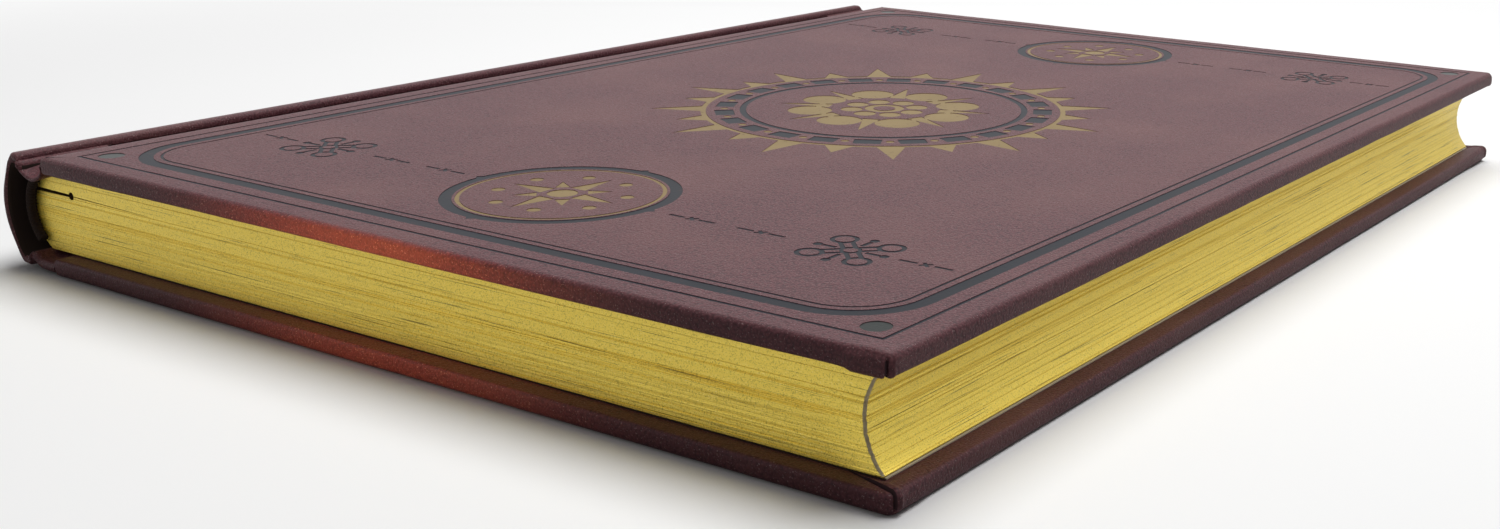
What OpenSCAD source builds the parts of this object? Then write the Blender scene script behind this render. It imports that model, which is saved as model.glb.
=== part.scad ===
// Closed hardcover journal lying on its back cover, front cover up.
// X runs from the spine to the fore-edge, Y from tail to head, Z up.
// The origin is the middle of the underside.

/* [Pages] */
// Width of a leaf, from the spine fold to the fore-edge
page_w = 153.5; // [90:0.5:260]
// Height of a leaf, from tail to head
page_h = 203; // [120:1:340]
// Thickness of all the leaves together
block_t = 12; // [6:0.5:40]
// How far the back of the page block is rounded out
back_round = 3.3; // [1:0.1:4.5]
// How far the fore-edge is hollowed in
fore_hollow = 2.4; // [0.5:0.1:4]
// Thickness of the endpapers
paper_t = 0.15; // [0.1:0.05:0.4]

/* [Case] */
// How far the covers stand out past the fore-edge
square_fore = 3.2; // [1.5:0.1:6]
// How far the covers stand out past the head and the tail
square_end = 3; // [2:0.1:6]
// Thickness of the board inside a cover
board_t = 2; // [1.2:0.1:4]
// Thickness of the covering
covering_t = 0.3; // [0.2:0.05:0.8]
// Radius on the outer edges of a cover
cover_edge_r = 0.6; // [0.2:0.1:1]
// How far the covering is turned in on the inside
turn_in_w = 14; // [8:1:25]
// Border of turned-in covering left bare around a pastedown
pastedown_border = 3; // [1:0.5:7]

/* [Spine] */
// Width of the groove between the spine ridge and the cover
groove_w = 6.1; // [5:0.1:10]
// How far the spine bulges out past its ridges
spine_bulge = 4.9; // [3.5:0.1:5.5]
// Width of the raised ridge beside the groove
ridge_w = 2; // [1:0.1:3]
// How far the groove starts behind the shoulder of the page block
groove_back = 0.9; // [0.5:0.1:1.2]
// How far the ridge lies below the face of the cover
ridge_drop = 0.6; // [0:0.1:0.6]
// Thickness of the card strip inside the spine
inlay_t = 0.8; // [0.4:0.1:1.2]
// Thickness of the cloth lining on the back of the page block
lining_t = 0.5; // [0.3:0.1:0.7]
// Thickness of the headband
band_t = 1.5; // [0.8:0.1:2]

/* [Signature gap] */
// Height of the gap above the underside of the page block
gap_rise = 8.9; // [2:0.1:10]
// Thickness of the gap between two signatures
gap_t = 0.3; // [0.1:0.05:0.6]
// Length of the gap from the back of the page block
gap_w = 8.6; // [4:0.1:20]
// Diameter of the hole at the end of the gap
gap_hole_d = 0.9; // [0.4:0.1:2]
// Depth of the gap into the page block
gap_depth = 6; // [2:1:20]

/* [Stamping] */
// Depth of the stamped foil in the covering
foil_t = 0.08; // [0.04:0.01:0.15]
// Distance of the outer line from the cover's edge
outer_line_in = 3.6; // [2:0.1:10]
// Width of the outer line
outer_line_w = 0.5; // [0.2:0.1:1]
// Distance of the border band from the cover's edge
band_in = 6.4; // [5:0.1:14]
// Width of the border band
band_w = 2; // [0.8:0.1:3]
// Outer corner radius of the border band
band_r = 11; // [7:0.5:20]
// Gap between the band and the line inside it
inner_line_gap = 0.9; // [0.4:0.1:2]
// Width of the line inside the band
inner_line_w = 0.4; // [0.2:0.1:1]
// Diameter of the dot in each corner
dot_d = 3.6; // [1:0.1:4]
// Distance of the dot's centre from the cover's edges
dot_in = 6.9; // [5:0.1:8]

/* [Ornaments] */
// Sideways distance of a knot from the middle of the cover
knot_x = 49; // [36:0.5:52]
// Distance of an ornament row from the head or tail of the cover
row_in = 29; // [26:0.5:34]
// Reach of a knot's loops from its centre
knot_reach = 7; // [5:0.1:9]
// Width of the stamped lines in the knots
knot_line_w = 0.65; // [0.3:0.05:1]
// Radius of a knot's loops
loop_r = 1.9; // [1.2:0.1:2.4]
// Width of the dashes between the ornaments
dash_w = 0.5; // [0.3:0.1:1]
// Length of one dash
dash_len = 3; // [1:0.1:4]
// Room between an ornament and the dashes beside it
dash_room = 1.4; // [0.8:0.1:2]

/* [Medallions] */
// Outer radius of the dark ring around a medallion
medallion_r = 16.2; // [10:0.1:18]
// Width of the dark ring
medallion_ring_w = 1.7; // [0.5:0.1:3]
// Outer radius of the gold ring
gold_ring_r = 14.1; // [8:0.1:14.4]
// Width of the gold ring
gold_ring_w = 0.6; // [0.3:0.1:1.5]
// Reach of the star inside a medallion
star_r = 9.5; // [5:0.1:11]

/* [Centre emblem] */
// Outer radius of the gold rays
ray_r = 40; // [32:0.5:42]
// Outer radius of the dark ring of blocks
block_ring_r = 30; // [24:0.5:31]
// Width of the ring of blocks
block_ring_w = 5.2; // [2:0.1:7]
// Number of blocks in the ring
block_count = 24; // [12:2:30]
// Outer radius of the rosette in the middle
rosette_r = 19; // [12:0.5:20]
// Number of petals on the rosette
petal_count = 8; // [6:1:12]

/* [Clearances] */
// Gap between a closed cover and the leaves
cover_gap = 0.1; // [0.05:0.05:0.3]
// Gap between the groove and the cover beside it
groove_gap = 0.3; // [0.2:0.05:0.6]

/* [Hidden] */
$fn = 96;
eps = 0.01;

// Stack of layers, from the underside up
cover_t = covering_t + board_t + covering_t;
stack_t = cover_t + paper_t + cover_gap + paper_t;
total_t = 2 * stack_t + block_t;
mid_z = total_t / 2;
block_z = stack_t;

// Plan sizes, measured from the fore-edge of the covers towards the spine
cover_h = page_h + 2 * square_end;
shoulder_u = -(square_fore + page_w);
crest_u = shoulder_u - groove_back;
cover_w = -crest_u - groove_w;
spine_u = crest_u - ridge_w - spine_bulge;
total_w = -spine_u;
cover_mid_u = -cover_w / 2;
groove_end = crest_u + groove_w - groove_gap;
lining_z = block_z - paper_t - lining_t;
groove_z = lining_z - covering_t;

// Circles through the rounded back, the hollow fore-edge and the spine
function arc_r(chord, rise) = (chord * chord / 4 + rise * rise) / (2 * rise);
back_arc_r = arc_r(block_t, back_round);
back_arc_u = shoulder_u - back_round + back_arc_r;
fore_arc_r = arc_r(block_t, fore_hollow);
spine_t = total_t - 2 * ridge_drop;
spine_arc_r = arc_r(spine_t, spine_bulge);
spine_arc_u = spine_u + spine_arc_r;

// Puts a part drawn from the fore-edge into the journal's own frame
module placed() translate([total_w / 2, 0, 0]) children();

// Extrudes a section drawn in X and Z along Y, centred on the origin
module along_y(len) translate([0, len / 2, 0]) rotate([90, 0, 0]) linear_extrude(len) children();

// Turns a lower part over to the upper side
module upper() translate([0, 0, total_t]) mirror([0, 0, 1]) children();

// A flat layer with the outline of a cover, drawn in by a margin
module cover_layer(margin, z, t)
    translate([-cover_w + margin, -cover_h / 2 + margin, z])
        cube([cover_w - 2 * margin, cover_h - 2 * margin, t]);

// Section of the page block with its rounded back and hollow fore-edge
module block_section() {
    difference() {
        translate([shoulder_u, block_z]) square([page_w, block_t]);
        translate([-square_fore - fore_hollow + fore_arc_r, mid_z]) circle(fore_arc_r);
    }
    back_section(0, block_z);
}

// Rounded back of the block behind its shoulder, thickened by a layer, from a height up
module back_section(layer, low_z)
    intersection() {
        translate([back_arc_u, mid_z]) circle(back_arc_r + layer);
        translate([shoulder_u - back_round - layer, low_z])
            square([back_round + layer, 2 * (mid_z - low_z)]);
    }

module page_block() color("#b5a04a") placed() difference() {
    along_y(page_h) block_section();
    translate([shoulder_u - back_round - 1, -page_h / 2 - eps, block_z + gap_rise - gap_t / 2])
        cube([gap_w + 1, gap_depth, gap_t]);
    translate([shoulder_u - back_round + gap_w, -page_h / 2 - eps, block_z + gap_rise])
        rotate([-90, 0, 0]) cylinder(h = gap_depth, d = gap_hole_d);
}

module flyleaf() color("#d9cfb4")
    translate([shoulder_u, -page_h / 2, block_z - paper_t]) cube([page_w, page_h, paper_t]);
module back_flyleaf() placed() flyleaf();
module front_flyleaf() placed() upper() flyleaf();

// The pastedown fills the window between the turn-ins and laps over them
module pastedown() color("#d9cfb4") {
    cover_layer(turn_in_w, cover_t - covering_t, covering_t);
    cover_layer(pastedown_border, cover_t, paper_t);
}
module back_pastedown() placed() pastedown();
module front_pastedown() placed() upper() pastedown();

module board() color("#8d8478") cover_layer(covering_t, covering_t, board_t);
module back_board() placed() board();
module front_board() placed() upper() board();

// Outline of a cover's section with rounded outer edges
module rounded_section(w) {
    translate([-w, cover_edge_r]) square([w, cover_t - cover_edge_r]);
    translate([-w + cover_edge_r, 0]) square([w - 2 * cover_edge_r, cover_t]);
    for (x = [-w + cover_edge_r, -cover_edge_r]) translate([x, cover_edge_r]) circle(cover_edge_r);
}

// Covering wrapped round a board and turned in on the inside
module covering() difference() {
    intersection() {
        along_y(cover_h) rounded_section(cover_w);
        rotate([0, 0, 90]) translate([cover_h / 2, 0, 0]) along_y(3 * cover_w) rounded_section(cover_h);
    }
    cover_layer(covering_t, covering_t, board_t);
    cover_layer(turn_in_w, covering_t, cover_t);
}
module back_covering() color("#4a2a2c") placed() covering();
module front_covering() color("#4a2a2c") placed() difference() {
    upper() covering();
    stamped(2 * foil_t) {
        border_lines();
        corner_dots();
        knots();
        medallion_rings();
        for (side = [-1, 1]) translate([0, side * row_y()]) medallion_gold();
        emblem_ring();
        emblem_gold();
    }
}

// Ring-shaped wall of the spine between two depths under its face
module spine_wall(outer, inner)
    difference() {
        spine_outline(outer);
        translate([spine_arc_u, mid_z]) circle(spine_arc_r - inner);
    }

// Outline of the spine, drawn in by a depth
module spine_outline(depth)
    intersection() {
        translate([spine_arc_u, mid_z]) circle(spine_arc_r - depth);
        translate([spine_u, ridge_drop + depth])
            square([crest_u - depth - spine_u, spine_t - 2 * depth]);
    }

// Covering round the spine and over both ridges, open towards the block
module spine_skin() difference() {
    spine_outline(0);
    spine_outline(covering_t);
    translate([crest_u - 2 * covering_t, lining_z])
        square([3 * covering_t, 2 * (mid_z - lining_z)]);
}

// Floor of the lower groove, from the ridge's wall to beside the cover
module groove_floor()
    translate([crest_u - covering_t, groove_z])
        square([groove_end - crest_u + covering_t, covering_t]);

module spine_inlay() color("#8d8478") placed()
    along_y(cover_h - 2 * covering_t) spine_wall(covering_t, covering_t + inlay_t);

module spine_covering() color("#3c2023") placed() {
    along_y(cover_h) {
        spine_skin();
        for (flip = [0, 1]) translate([0, flip * total_t]) mirror([0, flip]) groove_floor();
    }
    for (side = [-1, 1]) translate([0, side * (cover_h - turn_in_w) / 2, 0])
        along_y(turn_in_w) spine_wall(covering_t + inlay_t, inlay_t + 2 * covering_t);
    for (side = [-1, 1]) translate([0, side * (cover_h - covering_t) / 2, 0])
        along_y(covering_t) spine_wall(covering_t, covering_t + inlay_t);
}

module spine_lining() color("#cfc8b8") placed() along_y(page_h - 2 * band_t) difference() {
    union() {
        back_section(lining_t, lining_z);
        translate([crest_u - covering_t, lining_z])
            square([groove_end - crest_u + covering_t, 2 * (mid_z - lining_z)]);
    }
    back_section(0, block_z);
    translate([shoulder_u, block_z - paper_t]) square([page_w, block_t + 2 * paper_t]);
}

// Padded band on the end of the block, curved like its back
module band() color("#2c1a14") placed()
    translate([back_arc_u, page_h / 2, mid_z]) rotate([-90, 0, 0])
        rotate([0, 0, 180 - band_angle()]) rotate_extrude(angle = 2 * band_angle())
            translate([back_arc_r - band_t, 0]) {
                translate([band_t / 2, band_t / 2]) circle(d = band_t);
                square([band_t, band_t / 2]);
            }
function band_angle() = asin((block_t / 2 - band_t / 2) / back_arc_r);
module head_band() band();
module tail_band() mirror([0, 1, 0]) band();

// Stamping: flat shapes set into the face of the front cover
function row_y() = cover_h / 2 - row_in;
module stamped(height) translate([cover_mid_u, 0, total_t - foil_t])
    linear_extrude(height) children();
module foil() placed() stamped(foil_t) children();

module plate(margin, r) {
    w = cover_w - 2 * margin;
    h = cover_h - 2 * margin;
    square([w, h - 2 * r], center = true);
    square([w - 2 * r, h], center = true);
    for (x = [-1, 1], y = [-1, 1]) translate([x * (w / 2 - r), y * (h / 2 - r)]) circle(r);
}
module frame_line(margin, line_w, r) difference() {
    plate(margin, r);
    plate(margin + line_w, r - line_w);
}
module square_line(margin, line_w) difference() {
    square([cover_w - 2 * margin, cover_h - 2 * margin], center = true);
    square([cover_w - 2 * (margin + line_w), cover_h - 2 * (margin + line_w)], center = true);
}
module border_lines() {
    inner_in = band_in + band_w + inner_line_gap;
    square_line(outer_line_in, outer_line_w);
    frame_line(band_in, band_w, band_r);
    frame_line(inner_in, inner_line_w, band_r - band_w - inner_line_gap);
}
module corner_dots() for (x = [-1, 1], y = [-1, 1])
    translate([x * (cover_w / 2 - dot_in), y * (cover_h / 2 - dot_in)]) circle(d = dot_d);

module ring(r, line_w) difference() {
    circle(r);
    circle(r - line_w);
}

// Bar from one distance to another along X
module bar(from, to, w) translate([from, -w / 2]) square([to - from, w]);

// Knot of four open loops on the diagonals and four short petals between them
module knot() {
    loop_x = knot_reach - loop_r;
    for (a = [45:90:315]) rotate(a) {
        translate([loop_x, 0]) ring(loop_r, knot_line_w);
        for (side = [-1, 1]) translate([0, side * (loop_r - knot_line_w / 2) * 0.5])
            bar(knot_line_w, loop_x - loop_r * 0.7, knot_line_w);
    }
    for (a = [0:90:270]) rotate(a) {
        bar(knot_reach * 0.32, knot_reach * 0.62, knot_line_w);
        translate([knot_reach * 0.72, 0]) circle(knot_line_w);
    }
    ring(loop_r * 0.75, knot_line_w * 0.8);
}

// Two dashes with a small cross between them, about a middle
module dashes(middle) {
    for (side = [-1, 1]) translate([middle + side * dash_len * 0.85, 0])
        square([dash_len * 0.9, dash_w], center = true);
    translate([middle, 0]) for (a = [45, 135]) rotate(a)
        square([dash_len * 0.6, dash_w], center = true);
}
module knots() {
    border_x = cover_w / 2 - band_in - band_w - inner_line_gap - inner_line_w;
    dash_from = medallion_r + dash_room;
    dash_to = knot_x - knot_reach - dash_room;
    for (x = [0, 1], y = [-1, 1]) translate([0, y * row_y()]) mirror([x, 0]) {
        translate([knot_x, 0]) knot();
        dashes((knot_x + knot_reach * 0.75 + border_x) / 2);
        dashes(dash_from + (dash_to - dash_from) * 0.25);
        dashes(dash_from + (dash_to - dash_from) * 0.75);
    }
}
module medallion_rings() for (y = [-1, 1]) translate([0, y * row_y()]) {
    ring(medallion_r, medallion_ring_w);
    for (a = [0:90:270]) rotate(a) translate([medallion_r - dash_w, 0]) rotate(45)
        square(medallion_ring_w, center = true);
}

// Long thin triangle with its point outwards
module ray(from, to, w) polygon([[from, -w / 2], [to, 0], [from, w / 2]]);

module medallion_gold() {
    ring(gold_ring_r, gold_ring_w);
    for (a = [0:90:270]) rotate(a) ray(star_r * 0.3, star_r, star_r * 0.3);
    for (a = [45:90:315]) rotate(a) ray(star_r * 0.36, star_r * 0.72, star_r * 0.22);
    circle(star_r * 0.22);
    for (a = [22.5:45:337.5]) rotate(a) translate([star_r * 0.98, 0]) circle(star_r * 0.1);
}
module emblem_ring() {
    mid_r = block_ring_r - block_ring_w / 2;
    for (i = [0:block_count - 1]) rotate(i * 360 / block_count)
        translate([mid_r, 0]) square([block_ring_w * 0.62, mid_r * 3.9 / block_count], center = true);
    ring(block_ring_r - block_ring_w, 1.1);
}
module emblem_gold() {
    ring(block_ring_r + 1.4, 0.9);
    for (i = [0:block_count - 1]) rotate((i + 0.5) * 360 / block_count) {
        ray(block_ring_r + 1.3, i % 2 == 0 ? ray_r : ray_r * 0.9, block_ring_r * 3.6 / block_count);
        translate([block_ring_r - block_ring_w * 0.5, 0]) circle(0.7);
    }
    for (i = [0:petal_count - 1]) rotate(i * 360 / petal_count) {
        translate([rosette_r * 0.68, 0]) circle(rosette_r * 0.2);
        translate([rosette_r * 0.3, 0]) circle(rosette_r * 0.1);
        rotate(180 / petal_count) ray(rosette_r * 0.5, rosette_r, rosette_r * 0.16);
    }
    ring(rosette_r * 0.18, rosette_r * 0.08);
}

module border_foil() color("#474c55") foil() border_lines();
module corner_dot_foil() color("#41524f") foil() corner_dots();
module knot_foil() color("#4b4f55") foil() knots();
module medallion_ring_foil() color("#4b4f55") foil() medallion_rings();
module tail_medallion_foil() color("#b59a55") foil() translate([0, -row_y()]) medallion_gold();
module head_medallion_foil() color("#b59a55") foil() translate([0, row_y()]) medallion_gold();
module emblem_ring_foil() color("#4b4f55") foil() emblem_ring();
module emblem_gold_foil() color("#b59a55") foil() emblem_gold();

page_block();
front_flyleaf();
back_flyleaf();
front_pastedown();
back_pastedown();
front_board();
back_board();
front_covering();
back_covering();
spine_inlay();
spine_covering();
spine_lining();
head_band();
tail_band();
border_foil();
corner_dot_foil();
knot_foil();
medallion_ring_foil();
tail_medallion_foil();
head_medallion_foil();
emblem_ring_foil();
emblem_gold_foil();
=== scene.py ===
"""Closed hardcover journal: a leatherette case with stamped ornaments round a gilt page block."""
import logging
import math
import random
from dataclasses import dataclass
from enum import Enum
from typing import Callable, Iterable, Sequence

import bmesh
import bpy
from bmesh.types import BMEdge, BMesh, BMVert
from bpy.types import Material, Node, NodeSocket, NodeTree, Object
from mathutils import Matrix, Vector, noise


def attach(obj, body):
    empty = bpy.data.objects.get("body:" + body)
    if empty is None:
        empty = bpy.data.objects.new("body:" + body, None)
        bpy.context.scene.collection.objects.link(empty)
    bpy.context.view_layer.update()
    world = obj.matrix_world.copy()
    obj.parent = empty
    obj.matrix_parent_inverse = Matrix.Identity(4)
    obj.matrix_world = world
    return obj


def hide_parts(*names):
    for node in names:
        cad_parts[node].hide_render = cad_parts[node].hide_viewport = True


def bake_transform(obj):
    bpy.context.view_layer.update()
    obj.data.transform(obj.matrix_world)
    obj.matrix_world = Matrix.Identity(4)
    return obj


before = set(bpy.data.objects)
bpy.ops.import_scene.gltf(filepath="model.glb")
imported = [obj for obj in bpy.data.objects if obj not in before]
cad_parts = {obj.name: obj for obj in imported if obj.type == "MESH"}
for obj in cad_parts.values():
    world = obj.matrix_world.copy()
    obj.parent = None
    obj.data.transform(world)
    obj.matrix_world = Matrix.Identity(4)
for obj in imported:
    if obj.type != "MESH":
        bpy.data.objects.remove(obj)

LOG = logging.getLogger("journal")
MM = 0.001
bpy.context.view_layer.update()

# Overall sizes of the closed journal, in millimetres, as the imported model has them
TOTAL_T = 18.0
MID_Z = TOTAL_T / 2
COVER_X0, COVER_X1 = -69.25, 82.25
COVER_HALF_H = 104.5
COVER_T = 2.6
CREST_X = -75.35
FOIL_T = 0.08
BAND_Y = 102.25
FRONT_FLYLEAF_Z, BACK_FLYLEAF_Z = 15.0, 2.85


class Body(Enum):
    """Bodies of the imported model."""

    BLOCK = "block"
    FRONT = "front_cover"
    BACK = "back_cover"


class Side(Enum):
    """Which of the two covers, and the sign that turns front heights into its own."""

    FRONT = 1
    BACK = -1

    @property
    def body(self) -> Body:
        """Body that this cover is."""
        return Body.FRONT if self is Side.FRONT else Body.BACK

    @property
    def word(self) -> str:
        """Word that starts the names of this cover's pieces."""
        return self.name.lower()


# Small tools for meshes and materials


def srgb(code: str) -> tuple[float, float, float, float]:
    """Turns an sRGB hex colour to linear RGBA.

    Args:
        code: Colour such as "#a08040".

    Returns:
        Linear red, green, blue and an alpha of 1.
    """
    parts = [int(code[i:i + 2], 16) / 255 for i in (1, 3, 5)]
    linear = [c / 12.92 if c <= 0.04045 else ((c + 0.055) / 1.055) ** 2.4 for c in parts]
    return linear[0], linear[1], linear[2], 1.0


def add_node(tree: NodeTree, kind: str, inputs: dict | None = None, **settings) -> Node:
    """Adds a node with its settings, values and links.

    Args:
        tree: Node tree that gets the node.
        kind: Blender's name of the node type, after ShaderNode.
        inputs: Socket name or index, with a value or with the socket that feeds it.
        **settings: Attributes of the node itself.

    Returns:
        The new node.
    """
    node = tree.nodes.new("ShaderNode" + kind)
    for key, value in settings.items():
        setattr(node, key, value)
    for key, value in (inputs or {}).items():
        if isinstance(value, NodeSocket):
            tree.links.new(value, node.inputs[key])
        else:
            node.inputs[key].default_value = value
    return node


def start_material(name: str, **shader: object) -> tuple[Material, NodeTree, Node, NodeSocket]:
    """Starts a material with a Principled shader and the piece's coordinates in millimetres.

    Args:
        name: Name of the real material.
        **shader: Shader sockets by name, with underscores for blanks, and their values.

    Returns:
        The material, its node tree, the shader and the coordinates' socket.
    """
    material = bpy.data.materials.new(name)
    material.use_nodes = True
    tree = material.node_tree
    tree.nodes.clear()
    values = {key.replace("_", " "): value for key, value in shader.items()}
    principled = add_node(tree, "BsdfPrincipled", values)
    add_node(tree, "OutputMaterial", {"Surface": principled.outputs[0]})
    place = add_node(tree, "TexCoord").outputs["Object"]
    in_mm = add_node(tree, "VectorMath", {0: place, "Scale": 1 / MM}, operation="SCALE")
    return material, tree, principled, in_mm.outputs[0]


def finish_mesh(bm: BMesh, name: str, smooth_angle: float = 40.0) -> Object:
    """Turns a bmesh in millimetres to an object in metres, shaded smooth with sharp edges.

    Args:
        bm: The mesh, which is freed.
        name: Name of the object.
        smooth_angle: Edges that turn more than this many degrees stay sharp.

    Returns:
        The object, in the scene and at the origin.
    """
    bmesh.ops.scale(bm, vec=(MM, MM, MM), verts=bm.verts)
    bmesh.ops.recalc_face_normals(bm, faces=bm.faces)
    mesh = bpy.data.meshes.new(name)
    bm.to_mesh(mesh)
    bm.free()
    if "custom_normal" in mesh.attributes:
        mesh.attributes.remove(mesh.attributes["custom_normal"])
    obj = bpy.data.objects.new(name, mesh)
    bpy.context.scene.collection.objects.link(obj)
    smooth_by_angle(obj, smooth_angle)
    return obj


def smooth_by_angle(obj: Object, degrees: float) -> None:
    """Shades an object smooth but for edges sharper than an angle.

    Args:
        obj: Mesh object.
        degrees: Angle past which an edge stays sharp.
    """
    obj.data.polygons.foreach_set("use_smooth", [True] * len(obj.data.polygons))
    obj.data.set_sharp_from_angle(angle=math.radians(degrees))


def place_piece(obj: Object, body: Body, materials: Sequence[Material],
                replaced: Iterable[str] = ()) -> Object:
    """Gives a piece its body, its materials and the nodes that it stands for.

    Args:
        obj: The piece.
        body: Body that it moves with.
        materials: Materials in the order of the mesh's material indices.
        replaced: CAD nodes that it stands for.

    Returns:
        The piece.
    """
    dress(obj, materials)
    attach(obj, body.value)
    if replaced:
        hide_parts(*replaced)
    LOG.info("%s rides on %s with %d faces", obj.name, body.value, len(obj.data.polygons))
    return obj


def dress(obj: Object, materials: Sequence[Material]) -> None:
    """Puts materials on an object in place of those it has.

    Args:
        obj: The object.
        materials: Materials in slot order.
    """
    parts = [face.material_index for face in obj.data.polygons]
    obj.data.materials.clear()
    for material in materials:
        obj.data.materials.append(material)
    if len(materials) > 1:
        obj.data.polygons.foreach_set("material_index", parts)


def bake_modifiers(obj: Object) -> None:
    """Replaces an object's mesh by what its modifiers make of it."""
    graph = bpy.context.evaluated_depsgraph_get()
    done = bpy.data.meshes.new_from_object(obj.evaluated_get(graph))
    obj.modifiers.clear()
    obj.data = done


def subtract(obj: Object, cutters: Sequence[Object]) -> None:
    """Cuts other objects out of an object, and removes them.

    Args:
        obj: Object that is cut.
        cutters: Closed objects to take away.
    """
    for cutter in cutters:
        modifier = obj.modifiers.new("cut", "BOOLEAN")
        modifier.operation = "DIFFERENCE"
        modifier.solver = "MANIFOLD"
        modifier.object = cutter
    bpy.context.view_layer.update()
    dressed = bool(obj.data.materials)
    bake_modifiers(obj)
    slots = list(obj.data.materials)
    if dressed and None in slots:
        # The cut faces of a cutter without a material take the first one
        parts = [face.material_index if slots[face.material_index] else 0 for face in obj.data.polygons]
        obj.data.materials.clear()
        for material in slots:
            if material:
                obj.data.materials.append(material)
        obj.data.polygons.foreach_set("material_index", parts)
    for cutter in cutters:
        bpy.data.objects.remove(cutter)


def box_mesh(low: Sequence[float], high: Sequence[float]) -> BMesh:
    """Makes a box.

    Args:
        low: Lowest corner in millimetres.
        high: Highest corner in millimetres.

    Returns:
        A bmesh with six faces.
    """
    bm = bmesh.new()
    bmesh.ops.create_cube(bm, size=1)
    size = [b - a for a, b in zip(low, high)]
    bmesh.ops.scale(bm, vec=size, verts=bm.verts)
    bmesh.ops.translate(bm, vec=[(a + b) / 2 for a, b in zip(low, high)], verts=bm.verts)
    return bm


def slice_mesh(bm: BMesh, point: Sequence[float], normal: Sequence[float],
               near: Callable[[Vector], bool] | None = None) -> None:
    """Cuts a mesh's faces along a plane and keeps both sides.

    Args:
        bm: The mesh.
        point: Point on the plane.
        normal: Direction across the plane.
        near: Test on a face's middle that says whether the face is cut.
    """
    faces = [f for f in bm.faces if near is None or near(f.calc_center_median())]
    edges = {e for f in faces for e in f.edges}
    verts = {v for f in faces for v in f.verts}
    bmesh.ops.bisect_plane(bm, geom=[*verts, *edges, *faces], dist=1e-5, plane_co=point, plane_no=normal)


def edges_where(bm: BMesh, test: Callable[[Vector, Vector], bool]) -> list[BMEdge]:
    """Lists the edges whose two ends pass a test.

    Args:
        bm: The mesh.
        test: Test on both ends of an edge.

    Returns:
        The edges.
    """
    return [e for e in bm.edges if test(e.verts[0].co, e.verts[1].co)]


def copy_node(node: str) -> BMesh:
    """Copies a CAD node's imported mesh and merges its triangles.

    Args:
        node: Name of the node.

    Returns:
        Its mesh in millimetres.
    """
    bm = bmesh.new()
    bm.from_mesh(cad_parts[node].data)
    bmesh.ops.scale(bm, vec=(1 / MM, 1 / MM, 1 / MM), verts=bm.verts)
    bmesh.ops.remove_doubles(bm, verts=bm.verts, dist=0.002)
    return bm


def smooth_step(value: float, low: float, high: float) -> float:
    """Rises smoothly from 0 at low to 1 at high.

    Args:
        value: Value to place.
        low: Where the rise starts.
        high: Where it ends.

    Returns:
        A number from 0 to 1.
    """
    t = min(max((value - low) / (high - low), 0.0), 1.0)
    return t * t * (3 - 2 * t)


# Finishes


@dataclass(frozen=True)
class Leatherette:
    """Bonded leather coated with polyurethane, its fine pebble grain rolled in: a dull sheen, with tiny glints
    painted in as lighter specks.
    """

    name: str = "bonded_leather_pebble_grain"
    colour: str = "#5f383d"
    valley: str = "#3c2126"
    worn: str = "#6b4746"
    # Lighter colour of tiny specks, painted in as highlights
    painted_glint: str = "#a58d8c"
    pebble_mm: float = 0.3
    pore_mm: float = 0.16
    painted_glint_mm: float = 0.2
    cloud_mm: float = 22.0
    relief_mm: float = 0.075
    roughness: float = 0.5

    def material(self) -> Material:
        """Builds the material."""
        material, tree, shader, place = start_material(self.name, Roughness=self.roughness, IOR=1.5,
                                                       Specular_IOR_Level=0.14)
        pebbles = add_node(tree, "TexVoronoi", {"Vector": place, "Scale": 1 / self.pebble_mm, "Randomness": 1.0},
                           feature="SMOOTH_F1")
        pores = add_node(tree, "TexNoise", {"Vector": place, "Scale": 1 / self.pore_mm, "Detail": 2.0})
        clouds = add_node(tree, "TexNoise", {"Vector": place, "Scale": 1 / self.cloud_mm, "Detail": 3.0})
        hollow = add_node(tree, "MapRange", {"Value": pebbles.outputs["Distance"], "From Min": 0.2,
                                             "From Max": 0.75})
        deep = add_node(tree, "Mix", {0: hollow.outputs[0], 6: srgb(self.colour), 7: srgb(self.valley)},
                        data_type="RGBA")
        fade = add_node(tree, "MapRange", {"Value": clouds.outputs["Fac"], "From Min": 0.42, "From Max": 0.75,
                                           "To Max": 0.45})
        rubbed = add_node(tree, "Mix", {0: fade.outputs[0], 6: deep.outputs[2], 7: srgb(self.worn)},
                          data_type="RGBA")
        # Painted highlights: tiny lighter specks stand in for the pebble tips catching the light
        tips = add_node(tree, "TexNoise", {"Vector": place, "Scale": 1 / self.painted_glint_mm, "Detail": 1.0})
        lit = add_node(tree, "MapRange", {"Value": tips.outputs["Fac"], "From Min": 0.66, "From Max": 0.74,
                                          "To Max": 0.6})
        with_painted_glints = add_node(tree, "Mix", {0: lit.outputs[0], 6: rubbed.outputs[2], 7: srgb(self.painted_glint)},
                          data_type="RGBA")
        tree.links.new(with_painted_glints.outputs[2], shader.inputs["Base Color"])
        gloss = add_node(tree, "MapRange", {"Value": pores.outputs["Fac"], "From Min": 0.3, "From Max": 0.7,
                                            "To Min": self.roughness - 0.1, "To Max": self.roughness + 0.08})
        tree.links.new(gloss.outputs[0], shader.inputs["Roughness"])
        relief = add_node(tree, "Math", {0: pores.outputs["Fac"], 1: 0.5, 2: pebbles.outputs["Distance"]},
                          operation="MULTIPLY_ADD")
        upside = add_node(tree, "Math", {0: 1.0, 1: relief.outputs[0]}, operation="SUBTRACT")
        bump = add_node(tree, "Bump", {"Height": upside.outputs[0], "Strength": 1.0,
                                       "Distance": self.relief_mm * MM})
        tree.links.new(bump.outputs[0], shader.inputs["Normal"])
        return material


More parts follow.
